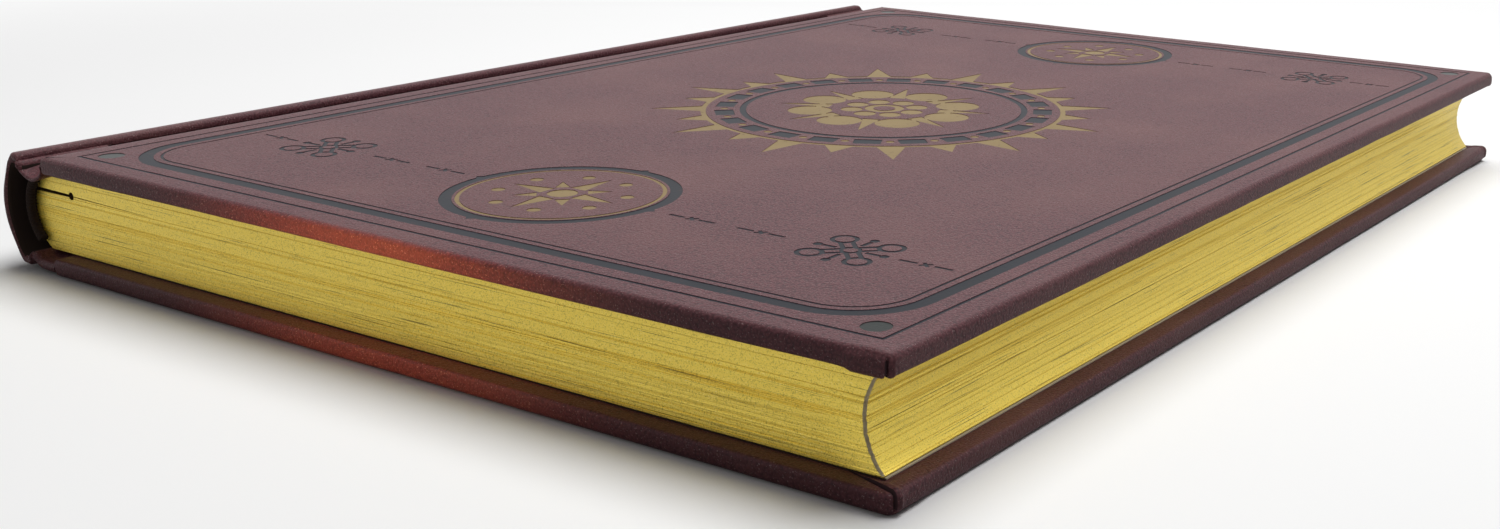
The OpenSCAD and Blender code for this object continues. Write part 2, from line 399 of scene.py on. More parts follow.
@dataclass(frozen=True)
class StampedFoil:
    """Hot-stamped foil pressed into the grain: smoother than the leather, with worn specks where it didn't take."""

    name: str
    colour: str
    shade: str
    metallic: float
    roughness: float
    bare: str = "#4f2f33"
    bare_share: float = 0.3
    speck_mm: float = 0.7
    pebble_mm: float = 0.42

    def material(self) -> Material:
        """Builds the material."""
        material, tree, shader, place = start_material(self.name, Roughness=self.roughness,
                                                       Specular_IOR_Level=0.06)
        specks = add_node(tree, "TexNoise", {"Vector": place, "Scale": 1 / self.speck_mm, "Detail": 4.0})
        clouds = add_node(tree, "TexNoise", {"Vector": place, "Scale": 0.09, "Detail": 2.0})
        tone = add_node(tree, "Mix", {0: clouds.outputs["Fac"], 6: srgb(self.colour), 7: srgb(self.shade)},
                        data_type="RGBA")
        lost = add_node(tree, "MapRange", {"Value": specks.outputs["Fac"], "From Min": 0.62, "From Max": 0.72,
                                           "To Max": self.bare_share})
        colour = add_node(tree, "Mix", {0: lost.outputs[0], 6: tone.outputs[2], 7: srgb(self.bare)},
                          data_type="RGBA")
        tree.links.new(colour.outputs[2], shader.inputs["Base Color"])
        kept = add_node(tree, "MapRange", {"Value": lost.outputs[0], "To Min": self.metallic, "To Max": 0.0})
        tree.links.new(kept.outputs[0], shader.inputs["Metallic"])
        grain = add_node(tree, "TexVoronoi", {"Vector": place, "Scale": 1 / self.pebble_mm}, feature="SMOOTH_F1")
        bump = add_node(tree, "Bump", {"Height": grain.outputs["Distance"], "Strength": 0.25,
                                       "Distance": 0.03 * MM}, invert=True)
        tree.links.new(bump.outputs[0], shader.inputs["Normal"])
        return material


@dataclass(frozen=True)
class GiltEdge:
    """Gold leaf burnished on trimmed paper edges: satin metal broken by the fine dark lines between leaves, with
    painted sparkle.
    """

    name: str = "gold_leaf_on_paper_edges"
    colour: str = "#f0d660"
    deep: str = "#ead05a"
    line: str = "#4a3a14"
    # Lighter colour of small specks, painted in as sparkle
    painted_glint: str = "#f6eaa6"
    leaf_mm: float = 0.16
    run_mm: float = 22.0
    speckle_mm: float = 0.16
    line_share: float = 0.85

    def material(self) -> Material:
        """Builds the material."""
        material, tree, shader, place = start_material(self.name, Metallic=0.72)
        stretched = add_node(tree, "Mapping", {"Vector": place,
                                               "Scale": (1 / self.run_mm, 1 / self.run_mm, 1 / self.leaf_mm)})
        leaves = add_node(tree, "TexNoise", {"Vector": stretched.outputs[0], "Scale": 1.0, "Detail": 3.0,
                                             "Roughness": 0.6})
        broad = add_node(tree, "Mapping", {"Vector": place, "Scale": (1 / 60, 1 / 60, 1 / 0.9)})
        bundles = add_node(tree, "TexNoise", {"Vector": broad.outputs[0], "Scale": 1.0, "Detail": 2.0})
        speckle = add_node(tree, "TexNoise", {"Vector": place, "Scale": 1 / self.speckle_mm, "Detail": 2.0})
        lines = add_node(tree, "MapRange", {"Value": leaves.outputs["Fac"], "From Min": 0.62, "From Max": 0.69,
                                            "To Max": self.line_share})
        tone = add_node(tree, "Mix", {0: bundles.outputs["Fac"], 6: srgb(self.colour), 7: srgb(self.deep)},
                        data_type="RGBA")
        ruled = add_node(tree, "Mix", {0: lines.outputs[0], 6: tone.outputs[2], 7: srgb(self.line)},
                         data_type="RGBA")
        # Painted highlights: small lighter specks stand in for sparkle on the leaf
        painted_sparkle = add_node(tree, "MapRange", {"Value": speckle.outputs["Fac"], "From Min": 0.62, "From Max": 0.74,
                                           "To Max": 0.7})
        colour = add_node(tree, "Mix", {0: painted_sparkle.outputs[0], 6: ruled.outputs[2], 7: srgb(self.painted_glint)},
                          data_type="RGBA")
        dull = add_node(tree, "MapRange", {"Value": speckle.outputs["Fac"], "From Min": 0.30, "From Max": 0.46,
                                           "To Min": 0.5, "To Max": 0.0})
        colour = add_node(tree, "Mix", {0: dull.outputs[0], 6: colour.outputs[2], 7: srgb(self.line)},
                          data_type="RGBA")
        tree.links.new(colour.outputs[2], shader.inputs["Base Color"])
        rough = add_node(tree, "MapRange", {"Value": speckle.outputs["Fac"], "From Min": 0.3, "From Max": 0.7,
                                            "To Min": 0.36, "To Max": 0.56})
        tree.links.new(rough.outputs[0], shader.inputs["Roughness"])
        bump = add_node(tree, "Bump", {"Height": speckle.outputs["Fac"], "Strength": 0.22, "Distance": 0.03 * MM},
                        invert=True)
        tree.links.new(bump.outputs[0], shader.inputs["Normal"])
        return material


@dataclass(frozen=True)
class Paper:
    """Uncoated paper or board: matt, with a faint tangle of fibres and soft changes of tone."""

    name: str
    colour: str
    shade: str
    fibre_mm: float = 0.35
    cloud_mm: float = 30.0
    mottle: float = 0.7
    # Where set, the paper is darkened beyond this distance from the middle as painted shade
    shade_beyond_mm: float = 0.0
    painted_end_shade: str = "#33251a"

    def material(self) -> Material:
        """Builds the material."""
        material, tree, shader, place = start_material(self.name, Roughness=0.88, Specular_IOR_Level=0.25)
        fibres = add_node(tree, "TexNoise", {"Vector": place, "Scale": 1 / self.fibre_mm, "Detail": 5.0,
                                             "Distortion": 1.5})
        clouds = add_node(tree, "TexNoise", {"Vector": place, "Scale": 1 / self.cloud_mm, "Detail": 3.0})
        both = add_node(tree, "Math", {0: fibres.outputs["Fac"], 1: 0.5, 2: clouds.outputs["Fac"]},
                        operation="MULTIPLY_ADD")
        share = add_node(tree, "MapRange", {"Value": both.outputs[0], "From Min": 0.5, "From Max": 1.05,
                                            "To Max": self.mottle})
        colour = add_node(tree, "Mix", {0: share.outputs[0], 6: srgb(self.colour), 7: srgb(self.shade)},
                          data_type="RGBA")
        # Painted shade: beyond this distance from the middle the paper turns dark, standing in for the shadow under
        # the block's edges
        if self.shade_beyond_mm:
            axes = add_node(tree, "SeparateXYZ", {0: place})
            off = add_node(tree, "Math", {0: axes.outputs["Y"]}, operation="ABSOLUTE")
            end_shade = add_node(tree, "MapRange", {"Value": off.outputs[0], "From Min": self.shade_beyond_mm,
                                               "From Max": self.shade_beyond_mm + 0.2})
            colour = add_node(tree, "Mix", {0: end_shade.outputs[0], 6: colour.outputs[2], 7: srgb(self.painted_end_shade)},
                              data_type="RGBA")
        tree.links.new(colour.outputs[2], shader.inputs["Base Color"])
        bump = add_node(tree, "Bump", {"Height": fibres.outputs["Fac"], "Strength": 0.25, "Distance": 0.02 * MM})
        tree.links.new(bump.outputs[0], shader.inputs["Normal"])
        return material


@dataclass(frozen=True)
class WovenCotton:
    """Plain-woven cotton: matt, its crossing threads drawn by two sets of waves."""

    name: str
    colour: str
    shade: str
    thread_mm: float
    sheen: float = 0.25

    def material(self) -> Material:
        """Builds the material."""
        material, tree, shader, place = start_material(self.name, Roughness=0.9, Specular_IOR_Level=0.2,
                                                       Sheen_Weight=self.sheen)
        waves = [add_node(tree, "TexWave",
                          {"Vector": place, "Scale": 0.314 / self.thread_mm, "Distortion": 0.6, "Detail": 1.0},
                          bands_direction=way) for way in ("Y", "Z")]
        cross = add_node(tree, "Math", {0: waves[0].outputs["Fac"], 1: waves[1].outputs["Fac"]},
                         operation="MULTIPLY")
        colour = add_node(tree, "Mix", {0: cross.outputs[0], 6: srgb(self.shade), 7: srgb(self.colour)},
                          data_type="RGBA")
        tree.links.new(colour.outputs[2], shader.inputs["Base Color"])
        bump = add_node(tree, "Bump", {"Height": cross.outputs[0], "Strength": 0.6, "Distance": 0.08 * MM})
        tree.links.new(bump.outputs[0], shader.inputs["Normal"])
        return material


# The two covers


@dataclass
class CornerFold:
    """Where the covering of one side is folded over the other at a corner of a cover.

    The seam runs across the inner face from near the corner, and down the corner's edge. Laps is 1 where the
    tail's or head's leather lies on top, and -1 where the fore-edge's does.
    """

    start: tuple[float, float] = (0.85, 0.95)
    end: tuple[float, float] = (9.7, 3.7)
    half_w: float = 0.15
    depth: float = 0.25
    lift: float = 0.3
    reach: float = 7.5
    laps: int = 1
    ear_w: float = 0.95
    ear_lift: float = 0.2
    cut_step: float = 0.9
    cuts: int = 9
    ear_cuts: tuple[float, ...] = (-3.0, -1.7, -1.15, -0.9, -0.65, -0.42)
    lap_cuts: tuple[float, ...] = (0.6, 1.5, 3.0)
    end_cuts: tuple[float, ...] = (0.6, 1.2, 2.4, 3.6, 4.8)
    depth_cuts: tuple[float, ...] = (0.9, 1.4, 1.9)


@dataclass
class Cover:
    """One cover: the board, the covering round it and the corner folds, built at the front's heights."""

    side: Side
    leather: Material
    greyboard: Material
    # Dark material painted into the seams of the corner folds as shadow
    painted_crease_shadow: Material
    fold: CornerFold
    skin_t: float = 0.3
    turn_in: float = 14.0
    corner_r: float = 1.4
    spine_corner_r: float = 0.5
    outer_edge_r: float = 0.85
    inner_edge_r: float = 0.55
    cell: float = 7.5
    wave_rate: float = 0.09
    wave_height: float = 0.09
    # The front's leather stands up a little beside the near corner
    lip_x: float = 79.5
    lip_r: float = 2.4
    lip_height: float = 0.2

    def slab(self) -> BMesh:
        """Makes the rounded outer form, with rows of faces to shape.

        Returns:
            A closed bmesh at the front cover's place.
        """
        inner, outer = TOTAL_T - COVER_T, TOTAL_T
        bm = box_mesh((COVER_X0, -COVER_HALF_H, inner), (COVER_X1, COVER_HALF_H, outer))
        for x, radius in ((COVER_X1, self.corner_r), (COVER_X0, self.spine_corner_r)):
            upright = edges_where(bm, lambda a, b, x=x: abs(a.x - x) < 0.01 and abs(b.x - x) < 0.01
                                  and abs(a.z - b.z) > 1)
            bmesh.ops.bevel(bm, geom=upright, offset=radius, segments=6, affect="EDGES", profile=0.5, material=-1)
        for z, radius, count in ((outer, self.outer_edge_r, 6), (inner, self.inner_edge_r, 4)):
            rim = edges_where(bm, lambda a, b, z=z: abs(a.z - z) < 0.01 and abs(b.z - z) < 0.01)
            bmesh.ops.bevel(bm, geom=rim, offset=radius, segments=count, affect="EDGES", profile=0.5, material=-1)
        x = COVER_X0 + self.cell
        while x < COVER_X1 - 2:
            slice_mesh(bm, (x, 0, 0), (1, 0, 0))
            x += self.cell
        y = -COVER_HALF_H + self.cell
        while y < COVER_HALF_H - 2:
            slice_mesh(bm, (0, y, 0), (0, 1, 0))
            y += self.cell
        return bm

    def fold_corners(self, bm: BMesh) -> None:
        """Presses the seams of the corner folds into the slab, lifts the leather that laps over and paints shadow
        into the seams.

        Args:
            bm: The slab.
        """
        fold = self.fold
        for sign in (-1, 1):
            corner = Vector((COVER_X1, sign * COVER_HALF_H, 0))
            a = corner + Vector((-fold.start[0], -sign * fold.start[1], 0))
            b = corner + Vector((-fold.end[0], -sign * fold.end[1], 0))
            along = (b - a).normalized()
            across = Vector((-along.y, along.x, 0))
            if across.dot(corner - Vector((20, 0, 0)) - a) < 0:
                across = -across

            def near(p: Vector, corner: Vector = corner, reach: float = fold.end[0] + 4) -> bool:
                return (p.xy - corner.xy).length < reach

            for k in range(fold.cuts):
                slice_mesh(bm, corner + Vector((-fold.cut_step * (k + 1), 0, 0)), (1, 0, 0), near)
            for offset in (*fold.ear_cuts, -fold.half_w, 0, fold.half_w, *fold.lap_cuts):
                slice_mesh(bm, a + across * offset, across, near)
            for offset in fold.end_cuts:
                slice_mesh(bm, corner - Vector((0, sign * offset, 0)), (0, 1, 0), near)
            for z in fold.depth_cuts:
                slice_mesh(bm, (0, 0, TOTAL_T - z), (0, 0, 1), near)
            bm.normal_update()
            moves = []
            for v in bm.verts:
                if not near(v.co):
                    continue
                off = (v.co - a).xy.dot(across.xy)
                back = (corner - v.co).x
                low = smooth_step(TOTAL_T - v.co.z, 0.45, 1.1)
                if abs(off) < fold.half_w / 2:
                    fade = 1 - smooth_step(back, fold.end[0] - 1.0, fold.end[0] + 1.5)
                    moves.append((v, -fold.depth * low * fade))
                    continue
                aside = abs(corner.y - v.co.y)
                amount = 0.0
                if off * fold.laps > 0:
                    fade = 1 - smooth_step(back if fold.laps > 0 else aside, fold.reach - 0.5, fold.reach + 0.2)
                    amount += fold.lift * fade * (1 - smooth_step(min(back, aside), 2.0, 2.8))
                if off < 0:
                    swell = math.sin(math.pi * min(max((-off - fold.half_w / 2) / fold.ear_w, 0.0), 1.0))
                    amount += fold.ear_lift * swell * (1 - smooth_step(back, 1.6, 3.2))
                moves.append((v, amount * low))
            for v, amount in moves:
                v.co += v.normal * amount
            # Painted shadow: the faces along the seam get the dark crease material
            for f in bm.faces:
                middle = f.calc_center_median()
                off, back = (middle - a).xy.dot(across.xy), (corner - middle).x
                under = TOTAL_T - middle.z > 0.8
                if near(middle) and under and abs(off) < fold.half_w and back < fold.end[0] + 0.3:
                    f.material_index = 1

    def soften(self, bm: BMesh) -> None:
        """Gives the slab the slight unevenness of a hand-turned edge.

        Args:
            bm: The slab.
        """
        for v in bm.verts:
            edge = min(COVER_X1 - v.co.x, COVER_HALF_H - abs(v.co.y))
            if v.co.x < COVER_X0 + 1:
                continue
            near = 1 - smooth_step(edge, 0.0, 3.0)
            wave = noise.noise(Vector((v.co.x * self.wave_rate, v.co.y * self.wave_rate, self.side.value * 5.0)))
            v.co.z += self.wave_height * near * wave
            if self.side is Side.FRONT and v.co.z > TOTAL_T - 1.2:
                lip = (Vector((self.lip_x, -COVER_HALF_H + 0.5)) - v.co.xy).length
                v.co.z += self.lip_height * math.exp(-(lip / self.lip_r) ** 2)
            if self.side is Side.BACK:
                v.co.z = min(v.co.z, TOTAL_T)

    def build(self) -> Object:
        """Makes the covering and the board.

        Returns:
            The covering, ready for its stamping.
        """
        bm = self.slab()
        self.fold_corners(bm)
        self.soften(bm)
        cavity = box_mesh((COVER_X0 + self.skin_t, -COVER_HALF_H + self.skin_t, TOTAL_T - COVER_T + self.skin_t),
                          (COVER_X1 - self.skin_t, COVER_HALF_H - self.skin_t, TOTAL_T - self.skin_t))
        rounded = edges_where(cavity, lambda a, b: a.x > 0 and b.x > 0 and abs(a.z - b.z) > 1)
        bmesh.ops.bevel(cavity, geom=rounded, offset=self.corner_r - self.skin_t, segments=5, affect="EDGES",
                        profile=0.5, material=-1)
        board = cavity.copy()
        window = box_mesh((COVER_X0 + self.turn_in, -COVER_HALF_H + self.turn_in, TOTAL_T - COVER_T - 1),
                          (COVER_X1 - self.turn_in, COVER_HALF_H - self.turn_in, TOTAL_T - COVER_T + 1))
        for mesh in (bm, cavity, board, window):
            if self.side is Side.BACK:
                bmesh.ops.scale(mesh, vec=(1, 1, -1), verts=mesh.verts)
                bmesh.ops.translate(mesh, vec=(0, 0, TOTAL_T), verts=mesh.verts)
        word = self.side.word
        skin = finish_mesh(bm, word + "_cover_leather")
        dress(skin, [self.leather, self.painted_crease_shadow])
        subtract(skin, [finish_mesh(cavity, "cavity"), finish_mesh(window, "window")])
        smooth_by_angle(skin, 40)
        core = finish_mesh(board, word + "_board_core")
        place_piece(core, self.side.body, [self.greyboard], [word + "_board"])
        return place_piece(skin, self.side.body, [self.leather, self.painted_crease_shadow], [word + "_covering"])


@dataclass
class Stamping:
    """The stamped ornaments: each foil lies pressed a little under the face of the leather."""

    dark: Material
    dot: Material
    gold: Material
    press: float = 0.06

    def stamp(self, leather: Object) -> None:
        """Presses every foil into the front cover's leather.

        Args:
            leather: The front covering.
        """
        foils = {"border_foil": (self.dark, "dark_foil"), "corner_dot_foil": (self.dot, "dark_foil"),
                 "knot_foil": (self.dark, "dark_foil"), "medallion_ring_foil": (self.dark, "dark_foil"),
                 "tail_medallion_foil": (self.gold, "gold_foil"), "head_medallion_foil": (self.gold, "gold_foil"),
                 "emblem_ring_foil": (self.dark, "dark_foil"), "emblem_gold_foil": (self.gold, "gold_foil")}
        cutters = []
        for node, (material, slot) in foils.items():
            inlay = copy_node(node)
            cutter = inlay.copy()
            middle = TOTAL_T - FOIL_T / 2
            for v in cutter.verts:
                v.co.z = TOTAL_T + 0.5 if v.co.z > middle else TOTAL_T - self.press - FOIL_T
            cutters.append(finish_mesh(cutter, "cut_" + node))
            bmesh.ops.translate(inlay, vec=(0, 0, -self.press), verts=inlay.verts)
            piece = finish_mesh(inlay, node.replace("_foil", "_stamping"))
            place_piece(piece, Body.FRONT, [material], [node])
        subtract(leather, cutters)
        smooth_by_angle(leather, 40)


# The spine and the joints beside it


@dataclass
class SpineCase:
    """Covering round the spine, turned in at head and tail, and the two grooves that bend with the covers."""

    leather: Material
    # Near-black material for the inner faces round the hollow back, as painted shade
    hollow: Material
    card: Material
    hollow_half_h: float = 7.2
    skin_t: float = 0.3
    roll_r: float = 0.7
    turn_in: float = 14.0
    arc_x: float = -72.6
    arc_r: float = 9.65
    ridge_top: float = 17.4
    ridge_r: float = 0.75
    ridge_lift: float = 0.3
    shoulder_x: float = -77.0
    arc_from: float = 121.5
    arc_steps: int = 34
    groove_z: float = 15.8
    tail_dip: float = 1.2
    dip_from: float = 4.2
    dip_to: float = 0.6
    tail_draw: float = 1.5
    draw_from: float = 12.0
    card_rows: int = 28

    def spine_profile(self) -> list[tuple[float, float]]:
        """Section of the spine from the foot of the upper ridge to the foot of the lower one.

        Returns:
            Points as X and Z in millimetres.
        """
        r = self.ridge_r
        upper = [(CREST_X, self.groove_z + 0.35)]
        for k in range(7):
            angle = math.radians(90 * k / 6)
            upper.append((CREST_X - r + r * math.cos(angle), self.ridge_top - r + r * math.sin(angle)))
        arc = []
        for k in range(self.arc_steps + 1):
            angle = math.radians(self.arc_from + (360 - 2 * self.arc_from) * k / self.arc_steps)
            arc.append((self.arc_x + self.arc_r * math.cos(angle), MID_Z + self.arc_r * math.sin(angle)))
        lower = [(x, TOTAL_T - z) for x, z in reversed(upper)]
        upper = [(x, z + self.ridge_lift * smooth_step(z, self.groove_z, self.ridge_top)) for x, z in upper]
        upper.append((self.shoulder_x, self.ridge_top + self.ridge_lift))
        return upper + arc + lower

    def groove_profile(self, side: Side) -> list[tuple[float, float]]:
        """Section of a groove from the ridge's foot to the cover's edge, at the front's heights.

        The lower one is shallow, because the journal's weight presses it flat.

        Args:
            side: Which groove.

        Returns:
            Points as X and Z in millimetres.
        """
        left, right, floor = CREST_X, COVER_X0 + 0.06, self.groove_z
        if side is Side.BACK:
            flat = [(0.0, -0.75), (0.45, -1.2), (0.9, -1.35), (1.4, -1.1), (1.9, -0.65), (2.5, -0.42), (3.6, -0.35),
                    (4.8, -0.35)]
            return [(left + dx, TOTAL_T + dz) for dx, dz in flat] + [(right, TOTAL_T - 0.35)]
        points = [(left, floor + 0.75)]
        for k in range(7):
            angle = math.radians(180 + 90 * k / 6)
            points.append((left + 0.55 * (1 + math.cos(angle)), floor + 0.55 * (1 + math.sin(angle))))
        for k in range(1, 6):
            points.append((left + 0.55 + (right - left - 1.3) * k / 6, floor - 0.06 * math.sin(math.pi * k / 6)))
        for k in range(7):
            angle = math.radians(270 + 90 * k / 6)
            points.append((right - 0.75 + 0.75 * math.cos(angle), floor + 0.75 * (1 + math.sin(angle))))
        points.append((right, floor + 1.25))
        return points

    def sheet(self, profile: Sequence[tuple[float, float]], centre: tuple[float, float],
              rows: Sequence[tuple[float, float, float]]) -> BMesh:
        """Sweeps a section from tail to head, drawn in and lowered row by row.

        Args:
            profile: Points of the section as X and Z.
            centre: Point that the section is drawn in towards.
            rows: For each row its Y, its share of the full size and how far it is lowered.

        Returns:
            An open sheet.
        """
        bm = bmesh.new()
        y, share, drop = rows[0]
        line = [bm.verts.new((centre[0] + (x - centre[0]) * share, y, centre[1] + (z - centre[1]) * share - drop))
                for x, z in profile]
        edges = [bm.edges.new(pair) for pair in zip(line, line[1:])]
        for (y0, s0, d0), (y1, s1, d1) in zip(rows, rows[1:]):
            grown = bmesh.ops.extrude_edge_only(bm, edges=edges)["geom"]
            verts = [g for g in grown if isinstance(g, BMVert)]
            edges = [g for g in grown if isinstance(g, BMEdge)
                     and g.verts[0] in set(verts) and g.verts[1] in set(verts)]
            middle = Vector((centre[0], 0, centre[1] - d0))
            bmesh.ops.translate(bm, vec=-middle, verts=verts)
            bmesh.ops.scale(bm, vec=(s1 / s0, 1, s1 / s0), verts=verts)
            bmesh.ops.translate(bm, vec=middle + Vector((0, y1 - y0, d0 - d1)), verts=verts)
        return bm

    def roll_rows(self, radius: float, inside: float, scale: bool) -> list[tuple[float, float, float]]:
        """Rows that turn a sheet in at both ends.

        Args:
            radius: Radius of the turned end.
            inside: How far the turned part reaches in.
            scale: Whether the turned part is drawn in, or else lowered.

        Returns:
            Rows for sheet().
        """
        def row(y: float, depth: float) -> tuple[float, float, float]:
            return (y, 1 - depth / self.arc_r, 0.0) if scale else (y, 1.0, depth)

        end = COVER_HALF_H - radius
        rows = [row(-COVER_HALF_H + inside, 2 * radius)]
        for k in range(9):
            angle = math.pi * k / 8
            rows.append(row(-end - radius * math.sin(angle), radius * (1 + math.cos(angle))))
        close = (0.8, 1.8, 2.9, 4.1, 6.5, 9.5, 13.0)
        wide = [-end + 20 + (2 * end - 40) * k / 12 for k in range(13)]
        for y in [-end + d for d in close] + wide + [end - d for d in reversed(close)]:
            rows.append(row(y, 0.0))
        head = [(-y, s, d) for y, s, d in reversed(rows[:10])]
        return rows + head

    def build(self) -> None:
        """Makes the spine's covering and both grooves."""
        bm = self.sheet(self.spine_profile(), (self.arc_x, MID_Z), self.roll_rows(self.roll_r, self.turn_in, True))
        self.draw_in_ends(bm)
        spine = finish_mesh(bm, "spine_leather", 60)
        middle = Vector((self.arc_x, 0, MID_Z)) * MM
        self.thicken(spine, middle)
        # Painted shade: the inner faces round the hollow back get the near-black material
        for f in spine.data.polygons:
            out = (f.center - middle) * Vector((1, 0, 1))
            within = abs(f.center.y) < (COVER_HALF_H - 0.3) * MM and abs(out.z) < self.hollow_half_h * MM
            if within and out.dot(f.normal) < 0:
                f.material_index = 1
        place_piece(spine, Body.BLOCK, [self.leather, self.hollow], ["spine_covering"])
        card = copy_node("spine_inlay")
        for k in range(1, self.card_rows):
            slice_mesh(card, (0, -COVER_HALF_H + 2 * COVER_HALF_H * k / self.card_rows, 0), (0, 1, 0))
        self.draw_in_ends(card)
        place_piece(finish_mesh(card, "spine_inlay_card"), Body.BLOCK, [self.card], ["spine_inlay"])
        for side in Side:
            roll_r = 0.3 if side is Side.FRONT else 0.8
            bm = self.sheet(self.groove_profile(side), (0.0, 0.0), self.roll_rows(roll_r, 8.0, False))
            if side is Side.FRONT:
                self.dip_ends(bm)
            if side is Side.BACK:
                bmesh.ops.scale(bm, vec=(1, 1, -1), verts=bm.verts)
                bmesh.ops.translate(bm, vec=(0, 0, TOTAL_T), verts=bm.verts)
            groove = finish_mesh(bm, side.word + "_groove_leather", 60)
            self.thicken(groove, Vector((-72.3, 0, MID_Z)) * MM)
            dress(groove, [self.leather])
            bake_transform(groove)
            LOG.info("%s bends between block and %s", groove.name, side.body.value)

    def draw_in_ends(self, bm: BMesh) -> None:
        """Draws the round of the spine in towards the leaves at the tail and at the head.

        Args:
            bm: The covering or the card under it.
        """
        for v in bm.verts:
            ends = smooth_step(abs(v.co.y), COVER_HALF_H - self.draw_from, COVER_HALF_H)
            v.co.x += self.tail_draw * ends * smooth_step(-v.co.x, 76.5, 81.0)

    def dip_ends(self, bm: BMesh) -> None:
        """Sinks the groove to a valley beyond the leaves, at the tail and at the head.

        Args:
            bm: The groove's sheet.
        """
        for v in bm.verts:
            beyond = smooth_step(abs(v.co.y), COVER_HALF_H - self.dip_from, COVER_HALF_H - self.dip_to)
            across = (v.co.x - CREST_X) / (COVER_X0 - CREST_X)
            v.co.z -= self.tail_dip * beyond * math.sin(math.pi * min(max(across, 0.0), 1.0))

    def thicken(self, obj: Object, inside: Vector) -> None:
        """Gives a sheet its thickness towards the inside of the case.

        Args:
            obj: Sheet, whose faces may point either way.
            inside: A point on the inner side.
        """
        belt = [f for f in obj.data.polygons if abs(f.center.y) < 8 * MM]
        outward = sum((f.center - inside).dot(f.normal) * f.area for f in belt) > 0
        solid = obj.modifiers.new("thickness", "SOLIDIFY")
        solid.thickness = self.skin_t * MM
        solid.offset = -1.0 if outward else 1.0
        bake_modifiers(obj)
        smooth_by_angle(obj, 60)


@dataclass
class HeadBand:
    """Padded band at the end of the page block: cotton thread wound close round a core."""

    cotton: Material
    centre_x: float = -70.65
    back_r: float = 7.1
    core_r: float = 0.72
    # Coarser than the real thread of about 0.3 mm, so that the winding shows
    thread_mm: float = 0.55
    half_angle: float = 47.0
    rings: int = 132

    def build(self, word: str, sign: int, y: float) -> Object:
        """Makes one band.

        Args:
            word: Which end, for the name.
            sign: 1 at the head, -1 at the tail; not used.
            y: Height of the core's middle along the block.

        Returns:
            The band.
        """
        bm = bmesh.new()
        path_r = self.back_r - self.core_r
        bmesh.ops.create_circle(bm, cap_ends=False, segments=14, radius=self.core_r)
        bmesh.ops.translate(bm, vec=(-path_r, 0, 0), verts=bm.verts)
        bmesh.ops.rotate(bm, cent=(0, 0, 0), matrix=Matrix.Rotation(math.radians(self.half_angle), 3, "Y"),
                         verts=bm.verts)
        bmesh.ops.spin(bm, geom=bm.edges[:], cent=(0, 0, 0), axis=(0, 1, 0), steps=self.rings,
                       angle=-math.radians(2 * self.half_angle), use_merge=False)
        turns = math.radians(2 * self.half_angle) * path_r / self.thread_mm
        for v in bm.verts:
            angle = math.atan2(v.co.z, -v.co.x)
            core = Vector((-path_r * math.cos(angle), 0, path_r * math.sin(angle)))
            share = (math.degrees(angle) + self.half_angle) / (2 * self.half_angle)
            out = v.co - core
            around = math.atan2(out.y, out.length)
            groove = abs(math.sin(math.pi * (share * turns + 0.08 * around)))
            v.co = core + out * (0.86 + 0.14 * math.sqrt(groove))
        bmesh.ops.holes_fill(bm, edges=[e for e in bm.edges if e.is_boundary], sides=20)
        bmesh.ops.translate(bm, vec=(self.centre_x, y, MID_Z), verts=bm.verts)
        band = finish_mesh(bm, word + "_band_thread", 70)
        return place_piece(band, Body.BLOCK, [self.cotton], [word + "_band"])


# The page block


